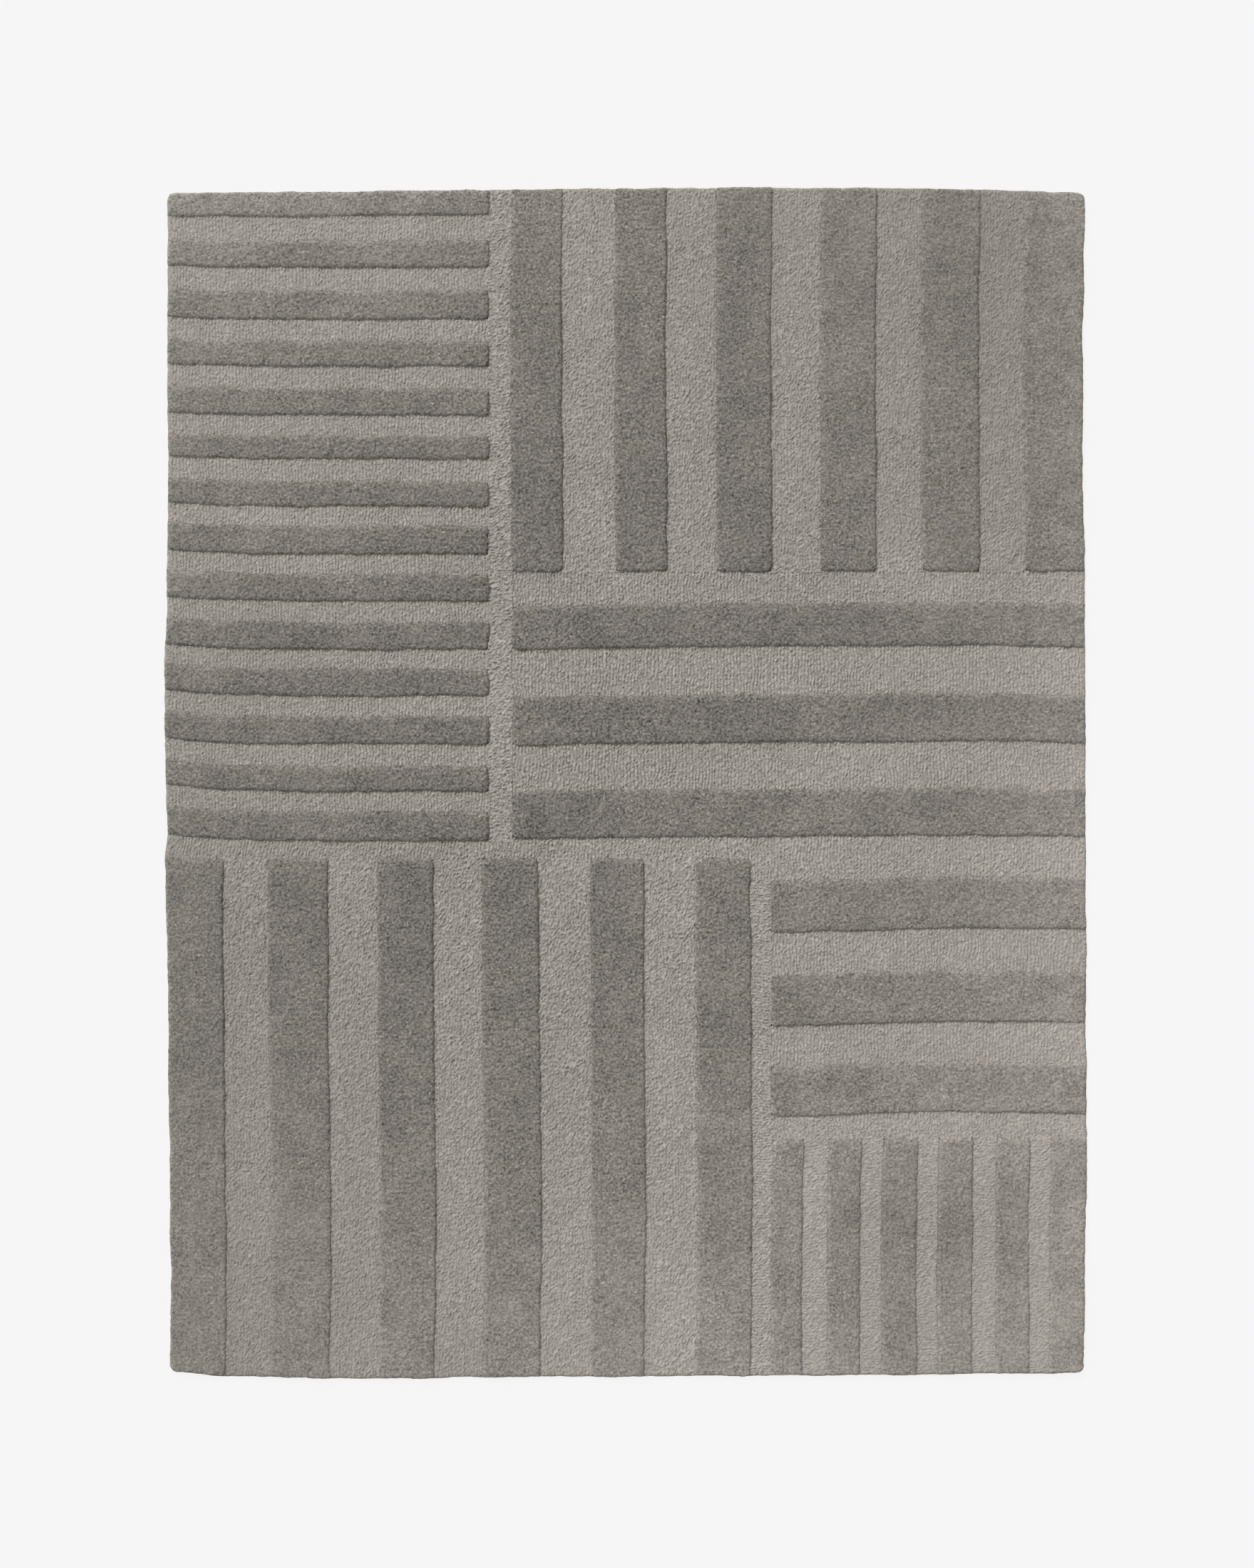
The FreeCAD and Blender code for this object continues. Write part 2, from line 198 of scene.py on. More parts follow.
def round_corners(x, y, low=(LEFT, BOTTOM), high=(RIGHT, TOP), radius=CORNER):
    """Pulls the corners of a rectangle, the whole rug's at first, in to a curve."""
    from_x, from_y = x - (low[0] + high[0]) / 2, y - (low[1] + high[1]) / 2
    a = np.clip((np.abs(from_x) - (high[0] - low[0]) / 2) / radius + 1, 0, 1)
    b = np.clip((np.abs(from_y) - (high[1] - low[1]) / 2) / radius + 1, 0, 1)
    x = x - np.sign(from_x) * radius * a * (1 - np.sqrt(1 - b * b / 2))
    y = y - np.sign(from_y) * radius * b * (1 - np.sqrt(1 - a * a / 2))
    return x, y


# ---------------------------------------------------------------------------- meshes


def ride(piece, slot, *nodes):
    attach(piece, "root")
    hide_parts(*nodes)
    return piece


def new_object(name, vertices, faces, material, **attributes):
    """A mesh object, with numbers kept at its points for the materials."""
    mesh = bpy.data.meshes.new(name)
    mesh.from_pydata(vertices, [], faces)
    mesh.shade_smooth()
    for kind, values in attributes.items():
        attribute = mesh.attributes.new(kind, "FLOAT", "POINT")
        attribute.data.foreach_set("value", values.astype(np.float32).ravel())
    mesh.materials.append(material)
    piece = bpy.data.objects.new(name, mesh)
    bpy.context.scene.collection.objects.link(piece)
    return piece


def grid_faces(columns, rows):
    """Quads of a grid of points numbered column by column, facing up."""
    i, j = np.meshgrid(np.arange(columns - 1), np.arange(rows - 1), indexing="ij")
    corner = (i * rows + j).ravel()
    return np.stack([corner, corner + rows, corner + rows + 1, corner + 1], 1)


def grid_rim(columns, rows):
    """The grid's outer points in order, so that the face they make looks down."""
    first = np.arange(rows)
    far = np.arange(1, columns) * rows + rows - 1
    last = (columns - 1) * rows + np.arange(rows - 2, -1, -1)
    near = np.arange(columns - 2, 0, -1) * rows
    return np.concatenate([first, far, last, near])


def y_share(y):
    return (2 * y - TOP - BOTTOM) / (TOP - BOTTOM)


def liveliness(x, y):
    """How strongly the yarn's grain shows: most in the middle, worn softer towards the corners.

    Its terms were fitted, as those of the drifts are."""
    u, v = x / RIGHT, y_share(y)
    return 0.95 / (0.80 + 0.06 * u - 0.065 * v + 0.24 * u * u + 0.25 * v * v)


def closed_pile(name, x, y, z, tone, material):
    """A closed piece of pile: a grid of points whose rim lies on the backing, and a flat base."""
    rim = np.exp(-((y - BOTTOM) / (6 * MM)) ** 2)
    rim += 0.6 * np.exp(-(np.minimum(TOP - y, RIGHT - np.abs(x)) / (4 * MM)) ** 2)
    lively = liveliness(x, y)
    x, y = round_corners(x, y)
    shift_x, shift_y = plan_shift(x, y)
    vertices = np.stack([x + shift_x, y + shift_y, z], -1).reshape(-1, 3)
    faces = grid_faces(*x.shape).tolist() + [grid_rim(*x.shape).tolist()]
    piece = new_object(name, vertices.tolist(), faces, material, tone=tone, rim=rim, lively=lively)
    piece.data.polygons[-1].use_smooth = False
    return piece


EDGE_LINES = np.array([0, 0.2, 0.7, 1.5, 2.6, 4.0, 5.8]) * MM


def lines_between(low, high, step):
    """Grid lines that crowd together at both edges and are even between them."""
    start, end = low + EDGE_LINES[-1] + step, high - EDGE_LINES[-1] - step
    count = max(2, round((end - start) / step) + 1)
    return np.concatenate([low + EDGE_LINES, np.linspace(start, end, count), (high - EDGE_LINES)[::-1]])


def shoulder(distance, reach, fullness):
    """Rounds the pile down to its base: 0 at the edge, 1 from `reach` inwards."""
    t = np.clip(distance / reach, 0, 1)
    return (1 - (1 - t) ** fullness) ** (1 / fullness)


# ---------------------------------------------------------------------------- cut pile

CUT_STEP = 1.7 * MM

# How the pile rounds over at each side of a bar: its reach, its fullness, and how far the bar
# spreads over its line. The pile leans out over the top line and is steepest at the bottom and right.
AT_RUG_EDGE = (7 * MM, 2.3, 0)
ROUND_LEFT = (8 * MM, 2.1, 0.9 * MM)
ROUND_RIGHT = (5.5 * MM, 2.6, 0.8 * MM)
ROUND_BOTTOM = (5.5 * MM, 2.6, 0.8 * MM)
ROUND_TOP = (13 * MM, 2.0, 3.3 * MM)
BAR_CORNER = 14 * MM


def cut_surface(x, y):
    """Height of sheared pile above or below its mean, in metres."""
    height = 0.8 * noise(x, y, 90 * MM, 21) + 0.5 * noise(x, y, 28 * MM, 22)
    height += 0.35 * noise(x, y, 12 * MM, 23)
    height += liveliness(x, y) * (0.45 * noise(x, y, 6 * MM, 24) + noise(x, y, 3.4 * MM, 25))
    return height * MM


def in_last_panel(u, v):
    """1 in the bottom right panel, which is a shade darker than the drift round it, and 0 outside."""
    return smooth_step(-v, 0.56, 0.72) * smooth_step(u, 0.35, 0.6)


def cut_drift(x, y):
    """How light the cut pile is, which drifts slowly over the rug.

    The terms were fitted to how light the bars look and then adjusted, as in loop_drift."""
    u, v = x / RIGHT, y_share(y)
    slow = 0.866 + 0.082 * u - 0.098 * v - 0.146 * u * v + 0.143 * u * u + 0.242 * v * v
    by_right_side = 0.075 * np.exp(-(((1 - u) / 0.13) ** 2))
    at_top_left = 0.12 * np.exp(-(((1 - v) / 0.06) ** 2)) * smooth_step(-u, 0.2, 0.35)
    return slow + by_right_side + at_top_left - 0.205 * in_last_panel(u, v)


def painted_fill_on_right(x, y):
    """How much painted light lifts the shade along the right edges in the lower part of the rug."""
    u, v = x / RIGHT, y_share(y)
    return 0.13 * smooth_step(-v, 0.1, 0.5) + 0.07 * in_last_panel(u, v)


def painted_edge_shading(from_left, from_right, from_bottom, from_top):
    """Fibres that lean out of a bar show their sides: painted light makes them lighter towards the upper
    left, where the light falls, and painted shade darkens them along the bottom and right.
    """
    def near(distance, reach):
        return np.exp(-(distance / (reach * MM)) ** 2)
    painted_lit_sides = 0.07 * near(from_top, 12) + 0.08 * near(from_left, 6)
    painted_shaded_sides = 0.16 * near(from_bottom, 9) + 0.12 * near(from_right, 6)
    # Painted light low on the shaded sides, as if light came through the fibres there.
    through = 0.45 * near(from_bottom, 2.8) + 0.2 * near(from_right, 2)
    return painted_lit_sides - painted_shaded_sides + through


def cut_pile_bar(node, material):
    low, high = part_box(node)
    left = AT_RUG_EDGE if low.x < LEFT + MM else ROUND_LEFT
    right = AT_RUG_EDGE if high.x > RIGHT - MM else ROUND_RIGHT
    bottom = AT_RUG_EDGE if low.y < BOTTOM + MM else ROUND_BOTTOM
    top = AT_RUG_EDGE if high.y > TOP - MM else ROUND_TOP
    x_low, x_high = low.x - left[2], high.x + right[2]
    y_low, y_high = low.y - bottom[2], high.y + top[2]
    x, y = np.meshgrid(lines_between(x_low, x_high, CUT_STEP),
                       lines_between(y_low, y_high, CUT_STEP), indexing="ij")
    ragged = 1 + 0.4 * noise(x, y, 5.5 * MM, 26)
    rise = shoulder((x - x_low) * ragged, *left[:2]) * shoulder((x_high - x) * ragged, *right[:2])
    rise *= shoulder((y - y_low) * ragged, *bottom[:2]) * shoulder((y_high - y) * ragged, *top[:2])
    height = (CUT_TOP - PILE_BASE - 1.6 * MM + cut_surface(x, y)) * rise
    # At the rug's own edges the pile stands up straighter, so the painted light and shade of its sides
    # hardly change its tone there.
    upright_right, upright_bottom = (6 * MM * (side is AT_RUG_EDGE) for side in (right, bottom))
    from_right, from_bottom = x_high - x + upright_right, y - y_low + upright_bottom
    # The tone holds painted light and shade along the bar's sides, scaled by the drift.
    tone = painted_edge_shading(x - x_low, from_right, from_bottom, y_high - y)
    # Painted light along the right sides, which takes away some of their shade low on the rug.
    tone += painted_fill_on_right(x, y) * np.exp(-((from_right / (4 * MM)) ** 2))
    tone = cut_drift(x, y) * (1 + tone)
    name = node.replace("cut_pile_", "") + "_cut_pile"
    # Only the corners inside the rug are rounded here, so the limits move out past its edges.
    corner_low = (x_low - BAR_CORNER * (left is AT_RUG_EDGE), y_low - BAR_CORNER * (bottom is AT_RUG_EDGE))
    corner_high = (x_high + BAR_CORNER * (right is AT_RUG_EDGE), y_high + BAR_CORNER * (top is AT_RUG_EDGE))
    x, y = round_corners(x, y, corner_low, corner_high, BAR_CORNER)
    piece = closed_pile(name, x, y, PILE_BASE + height, tone, material)
    return ride(piece, "cut_pile_wool", node)


# ---------------------------------------------------------------------------- loop pile

LOOP_OVERLAP = 3 * MM
LINES_PER_ROW = 5
ALONG_STEP = 1.8 * MM

# How the rows of loops lie in each part: direction, gauge in metres, how firm the rows are, and
# how deep the relief is.
ROWS = {
    "upper_left": ("y", 6.16 * MM, 0.72, 0.92),
    "middle_right": ("y", 6.16 * MM, 0.72, 1.0),
    "lower_right": ("y", 6.16 * MM, 0.7, 0.96),
    "upper_right": ("y", 5.60 * MM, 0.42, 0.9),
    "lower_left": ("y", 5.60 * MM, 0.38, 0.9),
    "bottom_right": ("x", 5.60 * MM, 0.32, 0.72),
    "border_upper_right": ("y", 6.16 * MM, 0.66, 1.0),
    "border_middle_left": ("y", 6.16 * MM, 0.62, 1.0),
    "border_middle_right": ("y", 6.16 * MM, 0.62, 1.0),
    "border_lower_right": ("y", 6.16 * MM, 0.55, 0.95),
    "border_upper_centre": ("x", 6.16 * MM, 0.25, 0.88),
    "border_lower_centre": ("x", 5.60 * MM, 0.36, 0.9),
}


def slanting(across, along):
    """Places measured along and across the twist of the yarn, which runs up to the right."""
    return 0.52 * (across + along), 0.76 * (across - along)


def loop_surface(across, along, gauge, firmness):
    """Height above the valleys between the rows of loops, from 0 to about 1."""
    row = np.floor(across / gauge)
    place = across / gauge - row
    own_row = row * 53.7 * MM
    place = place + 0.29 * np.sin(math.pi * place) * noise(own_row, along, 9 * MM, 31)
    ridge = np.sqrt(np.clip(1 - (2 * place - 1) ** 2, 0, 1))
    loops = 0.5 + 0.55 * noise(own_row, along, 3.3 * MM, 32)
    ridged = ridge * (0.2 + 0.8 * loops)
    lumpy = 0.5 + 0.07 * noise(across, along, 4.6 * MM, 33)
    lumpy += 0.72 * noise(*slanting(across, along), 2.4 * MM, 34)
    firm = np.clip(firmness + 0.2 * noise(across, along, 24 * MM, 35), 0, 1)
    return firm * ridged + (1 - firm) * lumpy


def loop_drift(x, y):
    """How light the loop pile is, which drifts slowly over the rug."""
    u, v = x / RIGHT, y_share(y)
    slow = 0.987 + 0.038 * u - 0.013 * v - 0.112 * u * v - 0.1 * u * u - 0.011 * v * v
    by_right_side = 0.078 * np.exp(-(((1 - u) / 0.13) ** 2))
    across_middle = 0.076 * np.exp(-(((v - 0.12) / 0.35) ** 2))
    at_top = -0.08 * u * smooth_step(v, 0.3, 0.45)
    return slow + by_right_side + across_middle + at_top - 0.098 * in_last_panel(u, v)


LOOP_DEPTH = 3.2 * MM
# The loops start a hair above the bars, so that their bases never lie in one plane.
LOOP_LIFT = 0.15 * MM


def even_lines(low, high, step):
    """Grid lines on whole multiples of a step, with the two limits added."""
    first, last = math.ceil(low / step + 0.35), math.floor(high / step - 0.35)
    return np.concatenate([[low], np.arange(first, last + 1) * step, [high]])


def with_edges(lines, low_is_edge, high_is_edge):
    """Crowds grid lines together where the strip ends at the rug's edge."""
    if low_is_edge:
        lines = np.concatenate([lines[0] + EDGE_LINES, lines[lines > lines[0] + 1.15 * EDGE_LINES[-1]]])
    if high_is_edge:
        kept = lines[lines < lines[-1] - 1.15 * EDGE_LINES[-1]]
        lines = np.concatenate([kept, (lines[-1] - EDGE_LINES)[::-1]])
    return lines


def loop_strip(name, rectangle, rows, node, material):
    """Loop pile over a rectangle (left, low, right, high), a little under the bars beside it."""
    direction, gauge, firmness, relief = rows
    left, low, right, high = rectangle
    at_left, at_right = left < LEFT + MM, right > RIGHT - MM
    at_low, at_high = low < BOTTOM + MM, high > TOP - MM
    left -= LOOP_OVERLAP * (not at_left)
    right += LOOP_OVERLAP * (not at_right)
    low -= LOOP_OVERLAP * (not at_low)
    high += LOOP_OVERLAP * (not at_high)
    fine = gauge / LINES_PER_ROW
    x_step, y_step = (fine, ALONG_STEP) if direction == "y" else (ALONG_STEP, fine)
    x_lines = with_edges(even_lines(left, right, x_step), at_left, at_right)
    y_lines = with_edges(even_lines(low, high, y_step), at_low, at_high)
    x, y = np.meshgrid(x_lines, y_lines, indexing="ij")
    across, along = (x, y) if direction == "y" else (y, x)
    surface = loop_surface(across, along, gauge, firmness)
    relief = relief * liveliness(x, y)

    # The rows lean and crowd. Near the strip's own ends they are held in place.
    held = np.clip(np.minimum(np.minimum(x - left, right - x), np.minimum(y - low, high - y))
                   / (8 * MM), 0, 1)
    lean = 2.6 * noise(across * 0.7, along, 28 * MM, 41) + 1.3 * noise(across, along, 12 * MM, 42)
    lean = lean * MM * held
    shifted_x, shifted_y = (x + lean, y) if direction == "y" else (x, y + lean)

    rise = np.ones_like(x)
    for is_edge, distance in ((at_left, x - left), (at_right, right - x), (at_low, y - low),
                              (at_high, high - y)):
        if is_edge:
            rise = rise * shoulder(distance, 7 * MM, 2.2)
    swell = 0.3 * noise(x, y, 60 * MM, 43) + 0.2 * noise(x, y, 14 * MM, 44)
    swell += 0.1 * noise(x, y, 6 * MM, 45) + 1.0 * noise(*slanting(x, y), 2.4 * MM, 46)
    height = LOOP_TOP - PILE_BASE - relief * (LOOP_DEPTH * (1 - surface) - swell * MM)
    height = height * rise
    outer = np.minimum.reduce([x - left, right - x, y - low, high - y]) <= 0
    height[outer] = 0
    # Painted shade and light: darker in the valleys between the rows, lighter on the ridges, and darker
    # where the pile rounds down at the rug's edge.
    tone = loop_drift(x, y) * (1 - 0.47 * relief * (0.65 - surface)) * (0.75 + 0.25 * rise)
    base = PILE_BASE + LOOP_LIFT
    piece = closed_pile(name, shifted_x, shifted_y, base + height, tone, material)
    return ride(piece, "loop_pile_wool", node)


def panel_loops(panel, material):
    """The strips of loops between neighbouring bars of a panel."""
    boxes = [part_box(node) for node in bar_nodes(panel)]
    for number, ((low, high), (next_low, next_high)) in enumerate(zip(boxes, boxes[1:]), 1):
        if next_low.x > high.x:
            rectangle = (high.x, low.y, next_low.x, high.y)
        else:
            rectangle = (low.x, next_high.y, high.x, low.y)
        loop_strip(f"{panel}_loops_{number:02d}", rectangle, ROWS[panel], "loop_pile_" + panel, material)


def border_loops(material):
    for border in ("upper_centre", "upper_right", "middle_left", "lower_centre", "lower_right"):
        node = "loop_border_" + border
        low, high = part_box(node)
        rectangle = (low.x, low.y, high.x, high.y)
        loop_strip(f"border_{border}_loops", rectangle, ROWS["border_" + border], node, material)
    # The middle right border is narrower above the lower left panel.
    node = "loop_border_middle_right"
    low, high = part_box(node)
    step_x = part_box("loop_border_lower_centre")[0].x
    step_y = BOXES["lower_left"][1][1]
    rows = ROWS["border_middle_right"]
    loop_strip("border_middle_right_loops_1", (low.x, step_y, step_x, high.y), rows, node, material)
    loop_strip("border_middle_right_loops_2", (step_x, low.y, high.x, high.y), rows, node, material)


# ---------------------------------------------------------------------------- underside

TAPE_INSET, TAPE_WIDTH = 6 * MM, 30 * MM
SEAM_INSET = 30.7 * MM
STITCH_LENGTH, STITCH_PITCH, STITCH_WIDTH = 12 * MM, 20 * MM, 1.3 * MM
STITCH_RINGS, STITCH_SIDES = 9, 8
BACKING_STEP = 12 * MM


def moved(x, y):
    """Where the rug's wandering puts a point."""
    x, y = round_corners(x, y)
    shift_x, shift_y = plan_shift(x, y)
    return x + shift_x, y + shift_y


def rug_grid(insets, step):
    """A grid of points over the rug: lines at some insets from its sides, and even ones inside."""
    insets = np.array(insets)
    axes = []
    for low, high in ((LEFT, RIGHT), (BOTTOM, TOP)):
        start, end = low + insets[-1] + step, high - insets[-1] - step
        even = np.linspace(start, end, round((end - start) / step) + 1)
        axes.append(np.concatenate([low + insets, even, (high - insets)[::-1]]))
    return np.meshgrid(*axes, indexing="ij")


def slab_mesh(x, y, low, high):
    """Vertices and faces of a closed sheet over a grid, between two heights."""
    x, y = moved(x, y)
    count = x.size
    upper = np.stack([x, y, np.broadcast_to(high, x.shape)], -1).reshape(-1, 3)
    under = np.stack([x, y, np.broadcast_to(low, x.shape)], -1).reshape(-1, 3)
    top = grid_faces(*x.shape)
    rim = grid_rim(*x.shape)
    after = np.roll(rim, -1)
    sides = np.stack([rim, after, after + count, rim + count], 1)
    faces = np.concatenate([top, top[:, ::-1] + count, sides])
    return np.concatenate([upper, under]), faces


def joined(name, parts, material):
    """One object from several sets of vertices and faces."""
    start = 0
    vertices, faces = [], []
    for points, polygons in parts:
        vertices += points.tolist()
        faces += (polygons + start).tolist()
        start += len(points)
    return new_object(name, vertices, faces, material)


# How many points a ring of the folded cloth has along each short and each long side.
RING_ACROSS, RING_ALONG = 140, 180


def ring_points(inset):
    """Points round the rug at a distance in from its sides, counter-clockwise."""
    across = np.linspace(LEFT + inset, RIGHT - inset, RING_ACROSS, endpoint=False)
    along = np.linspace(BOTTOM + inset, TOP - inset, RING_ALONG, endpoint=False)
    right, left = np.full(RING_ALONG, RIGHT - inset), np.full(RING_ALONG, LEFT + inset)
    bottom, top = np.full(RING_ACROSS, BOTTOM + inset), np.full(RING_ACROSS, TOP - inset)
    x = np.concatenate([across, right, -across, left])
    y = np.concatenate([bottom, along, top, -along])
    return moved(x, y)


def folded_cloth(name, section, material):
    """A cloth whose edge is folded: rings at (inset, height) from its underside to its top."""
    count = 2 * (RING_ACROSS + RING_ALONG)
    rings = [np.stack([*ring_points(inset), np.full(count, height)], 1) for inset, height in section]
    start = np.arange(count)
    after = np.roll(start, -1)
    faces = []
    for number in range(len(rings) - 1):
        near, far = number * count, (number + 1) * count
        faces += np.stack([start + near, after + near, after + far, start + far], 1).tolist()
    faces += [start[::-1].tolist(), (start + (len(rings) - 1) * count).tolist()]
    return new_object(name, np.concatenate(rings).tolist(), faces, material)


def primary_backing(material):
    """The cloth that the tufts are in, with its edge folded under the latex."""
    section = ((30, 2.6), (3.8, 2.6), (2.9, 2.3), (2.9, 1.9), (3.8, 1.6), (28, 1.6), (28, 0.85),
               (4, 0.85), (2.6, 1.1), (2.0, 1.7), (2.0, 2.5), (2.6, 3.1), (4, 3.4), (30, 3.4))
    section = [(inset * MM, height * MM) for inset, height in section]
    piece = folded_cloth("primary_cloth", section, material)
    ride(piece, "primary_cloth", "primary_backing")


def latex_coat(material):
    x, y = rug_grid([3 * MM], BACKING_STEP)
    ride(joined("latex", [slab_mesh(x, y, 1.6 * MM, 2.6 * MM)], material), "latex", "latex_coat")


def secondary_backing(material):
    """Canvas on the latex, in the window of the folded edge and over it as far as the tape."""
    x, y = rug_grid([28.2 * MM, 35.8 * MM, 36.3 * MM], 0.75 * BACKING_STEP)
    inset = np.minimum(RIGHT - np.abs(x), TOP - np.abs(y))
    dents = 0.16 * noise(x, y, 70 * MM, 61) + 0.09 * noise(x, y, 22 * MM, 62)
    low = np.where(inset < 36 * MM, 0.82, 0.27 + dents) * MM
    piece = joined("backing_canvas", [slab_mesh(x, y, low, 1.6 * MM)], material)
    ride(piece, "backing_canvas", "secondary_backing")


# Each side of the rug as seen from its underside: a corner, the way along it, the way inwards and
# its length.
SIDES = {
    "bottom": (LEFT, BOTTOM, 1, 0, 0, 1, RIGHT - LEFT),
    "right": (RIGHT, BOTTOM, 0, 1, -1, 0, TOP - BOTTOM),
    "top": (RIGHT, TOP, -1, 0, 0, -1, RIGHT - LEFT),
    "left": (LEFT, TOP, 0, -1, 1, 0, TOP - BOTTOM),
}


def on_side(side, along, inwards):
    x, y, along_x, along_y, in_x, in_y = SIDES[side][:-1]
    return x + along * along_x + inwards * in_x, y + along * along_y + inwards * in_y


# Lines along the tape, measured across it, crowded at its edges and at the seam.
TAPE_LINES = np.array([0, 0.4, 1.5, 5, 10, 15, 20, 23, 24, 24.7, 25.4, 26.4, 28.5, 29.6, 30]) * MM


def hem_tape(side, material):
    """Twill tape over the folded edge, mitred at its ends, drawn in along its seam."""
    length = SIDES[side][-1]
    inwards = TAPE_INSET + TAPE_LINES
    share = np.linspace(0, 1, round(length / (7 * MM)) + 1)
    share, inwards = np.meshgrid(share, inwards, indexing="ij")
    along = inwards + share * (length - 2 * inwards)
    x, y = on_side(side, along, inwards)
    from_seam = (inwards - SEAM_INSET) / (1.3 * MM)
    stitch = 0.75 + 0.25 * np.cos(2 * math.pi * along / STITCH_PITCH)
    from_edge = np.minimum(inwards - TAPE_INSET, TAPE_INSET + TAPE_WIDTH - inwards)
    low = 0.12 + 0.33 * stitch * np.exp(-from_seam ** 2) + 0.3 * (1 - shoulder(from_edge, 1.2 * MM, 2))
    low = low + 0.08 * noise(x, y, 25 * MM, 63)
    piece = joined(f"hem_tape_{side}_twill", [slab_mesh(x, y, low * MM, 0.8 * MM)], material)
    ride(piece, "hem_tape_cotton", "hem_tape_" + side)


def stitch_mesh(side, middle):
    """One stitch: a short thread that dips into the tape at both ends."""
    along = np.linspace(-0.5, 0.5, STITCH_RINGS) * STITCH_LENGTH
    turn = np.linspace(0, 2 * math.pi, STITCH_SIDES, endpoint=False)
    along, turn = np.meshgrid(along, turn, indexing="ij")
    share = np.abs(along) / (STITCH_LENGTH / 2)
    thick = STITCH_WIDTH / 2 * np.sqrt(1.02 - share ** 4)
    x, y = on_side(side, middle + along, SEAM_INSET + thick * np.cos(turn))
    x, y = moved(x, y)
    z = 0.32 * MM + 0.3 * MM * share ** 3 + 0.45 * thick * np.sin(turn)
    points = np.stack([x, y, z], -1).reshape(-1, 3)
    start = np.arange(STITCH_SIDES)
    after = np.roll(start, -1)
    faces = []
    for first in range(0, (STITCH_RINGS - 1) * STITCH_SIDES, STITCH_SIDES):
        second = first + STITCH_SIDES
        faces.append(np.stack([start + first, start + second, after + second, after + first], 1))
    return points, np.concatenate(faces)


def hem_stitches(material):
    parts = []
    for side in SIDES:
        length = SIDES[side][-1]
        run = length - 2 * (TAPE_INSET + TAPE_WIDTH)
        count = int(run // STITCH_PITCH)
        for number in range(count):
            parts.append(stitch_mesh(side, length / 2 + (number - (count - 1) / 2) * STITCH_PITCH))
    ride(joined("hem_thread", parts, material), "sewing_thread", "hem_stitches")


# ---------------------------------------------------------------------------- materials


def linear(*levels):
    """A colour given as 0 to 255 levels, as the shaders take it."""
    shares = [level / 255 for level in levels]
    return [share / 12.92 if share <= 0.04045 else ((share + 0.055) / 1.055) ** 2.4 for share in shares]


def add(tree, kind, inputs=None, **settings):
    """Adds a node, sets it up and fills its inputs with values or with other nodes' outputs."""
    node = tree.nodes.new(kind)
    for name, value in settings.items():
        setattr(node, name, value)
    for name, value in (inputs or {}).items():
        if isinstance(value, bpy.types.NodeSocket):
            tree.links.new(value, node.inputs[name])
        else:
            node.inputs[name].default_value = value
    return node


def grain(tree, place, size, detail=1.0):
    """A noise between 0 and 1 whose grains are about `size` metres across."""
    inputs = {"Vector": place, "Scale": 1 / size, "Detail": detail}
    return add(tree, "ShaderNodeTexNoise", inputs).outputs[0]


def weighted(tree, start, terms):
    """start plus each term's strength times how far it is from its middle."""
    total = start - sum(strength * middle for value, strength, middle in terms)
    for value, strength, middle in terms:
        inputs = {0: value, 1: strength, 2: total}
        total = add(tree, "ShaderNodeMath", inputs, operation="MULTIPLY_ADD").outputs[0]
    return total


def new_material(name, roughness):
    material = bpy.data.materials.new(name)
    material.use_nodes = True
    tree = material.node_tree
    surface = tree.nodes["Principled BSDF"]
    surface.inputs["Roughness"].default_value = roughness
    surface.inputs["Specular IOR Level"].default_value = 0.15
    place = tree.nodes.new("ShaderNodeTexCoord").outputs["Object"]
    return material, tree, surface, place


def set_sheen(surface, weight, roughness, colour):
    surface.inputs["Sheen Weight"].default_value = weight
    surface.inputs["Sheen Roughness"].default_value = roughness
    surface.inputs["Sheen Tint"].default_value = (*colour, 1)


def paint(tree, surface, colour, tone):
    """Colours the surface with one colour, made lighter or darker by a tone."""
    scaled = add(tree, "ShaderNodeVectorMath", {0: colour, "Scale": tone}, operation="SCALE")
    tree.links.new(scaled.outputs[0], surface.inputs["Base Color"])


def bump(tree, surface, height, distance):
    raised = add(tree, "ShaderNodeBump", {"Height": height, "Distance": distance, "Strength": 1.0})
    tree.links.new(raised.outputs[0], surface.inputs["Normal"])


def kept(tree, kind):
    """A number kept with the piece's points."""
    return add(tree, "ShaderNodeAttribute", attribute_name=kind).outputs["Fac"]


def lively(tree, start, fine):
    """start plus the fine grain, as strong as it shows in this part of the rug."""
    inputs = {0: fine, 1: kept(tree, "lively"), 2: start}
    return add(tree, "ShaderNodeMath", inputs, operation="MULTIPLY_ADD").outputs[0]


def product(tree, one, other):
    return add(tree, "ShaderNodeMath", {0: one, 1: other}, operation="MULTIPLY").outputs[0]


def between(tree, share, one, other):
    """A colour some way from one to the other."""
    return add(tree, "ShaderNodeMix", {0: share, 6: one, 7: other}, data_type="RGBA").outputs[2]


def worn_rim(tree, place, colour, rim_colour):
    """The wool's colour, with warmer flecks of bruised yarn along the rug's edges."""
    limits = {"Value": grain(tree, place, 5 * MM, 2), "From Min": 0.35, "From Max": 0.65}
    flecks = add(tree, "ShaderNodeMapRange", limits).outputs[0]
    return between(tree, product(tree, kept(tree, "rim"), flecks), (*colour, 1), (*rim_colour, 1))


